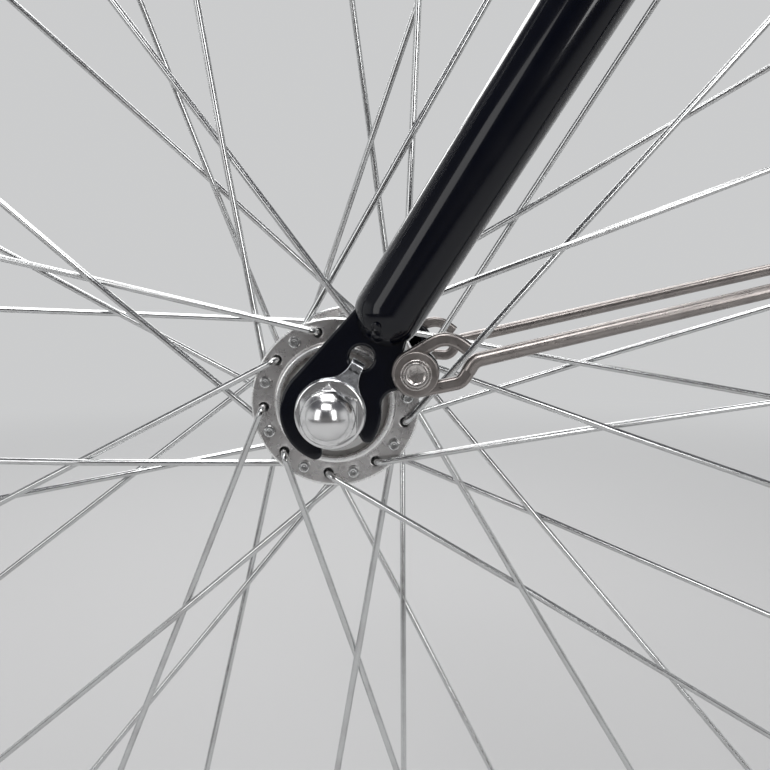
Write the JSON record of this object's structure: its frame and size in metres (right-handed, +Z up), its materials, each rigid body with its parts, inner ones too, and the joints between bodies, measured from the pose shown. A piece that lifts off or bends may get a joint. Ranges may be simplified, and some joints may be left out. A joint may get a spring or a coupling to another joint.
{
  "type": "bicycle front fork with wheel and mudguard",
  "caption": "Front end piece of a city bicycle: black fork with a laced spoked wheel turning on its axle, domed nuts, and a mudguard held by a looped wire stay.",
  "frame": {"origin": "centre of the steerer at the crown race seat", "axes": "+X the bicycle's forward direction, +Y to the rider's left along the axle, +Z up; the steerer leans back 20 degrees from +Z"},
  "size_m": [0.7143, 0.1442, 0.8785],
  "materials": {
    "fork_paint": "gloss, near-black navy",
    "guard_paint": "gloss, near-black navy",
    "chrome": "polished",
    "alloy": "satin with bright edges",
    "spoke_steel": "bright drawn wire",
    "plain_steel": "satin, grey-brown",
    "tyre_rubber": "matt",
    "valve_rubber": "matt"
  },
  "bodies": {
    "fork": {"steerer": "fork_paint", "crown": "fork_paint", "blade_left": "fork_paint", "blade_right": "fork_paint", "fork_end_left": "fork_paint", "fork_end_right": "fork_paint", "axle": "plain_steel", "cone_left": "plain_steel", "cone_right": "plain_steel", "tab_washer_left": "chrome", "tab_washer_right": "chrome", "axle_nut_left": "chrome", "axle_nut_right": "chrome", "mudguard": "guard_paint", "guard_bracket": "plain_steel", "crown_bolt": "plain_steel", "crown_nut": "plain_steel", "guard_stay": "plain_steel", "stay_clip": "plain_steel", "stay_washer_left": "plain_steel", "stay_washer_right": "plain_steel", "stay_bolt_left": "plain_steel", "stay_bolt_right": "plain_steel"},
    "wheel": {"hub_shell": "alloy", "dust_cap_left": "plain_steel", "dust_cap_right": "plain_steel", "spokes_left_outer": "spoke_steel", "spokes_left_inner": "spoke_steel", "spokes_right_outer": "spoke_steel", "spokes_right_inner": "spoke_steel", "nipples": "spoke_steel", "wheel_rim": "alloy", "tyre": "tyre_rubber", "valve": "valve_rubber"}
  },
  "joints": [
    {"name": "wheel_spin", "type": "hinge", "parent": "fork", "child": "wheel", "pos_m": [0.18116, 0, -0.35445], "axis": [0, 1, 0], "continuous": true}
  ]
}
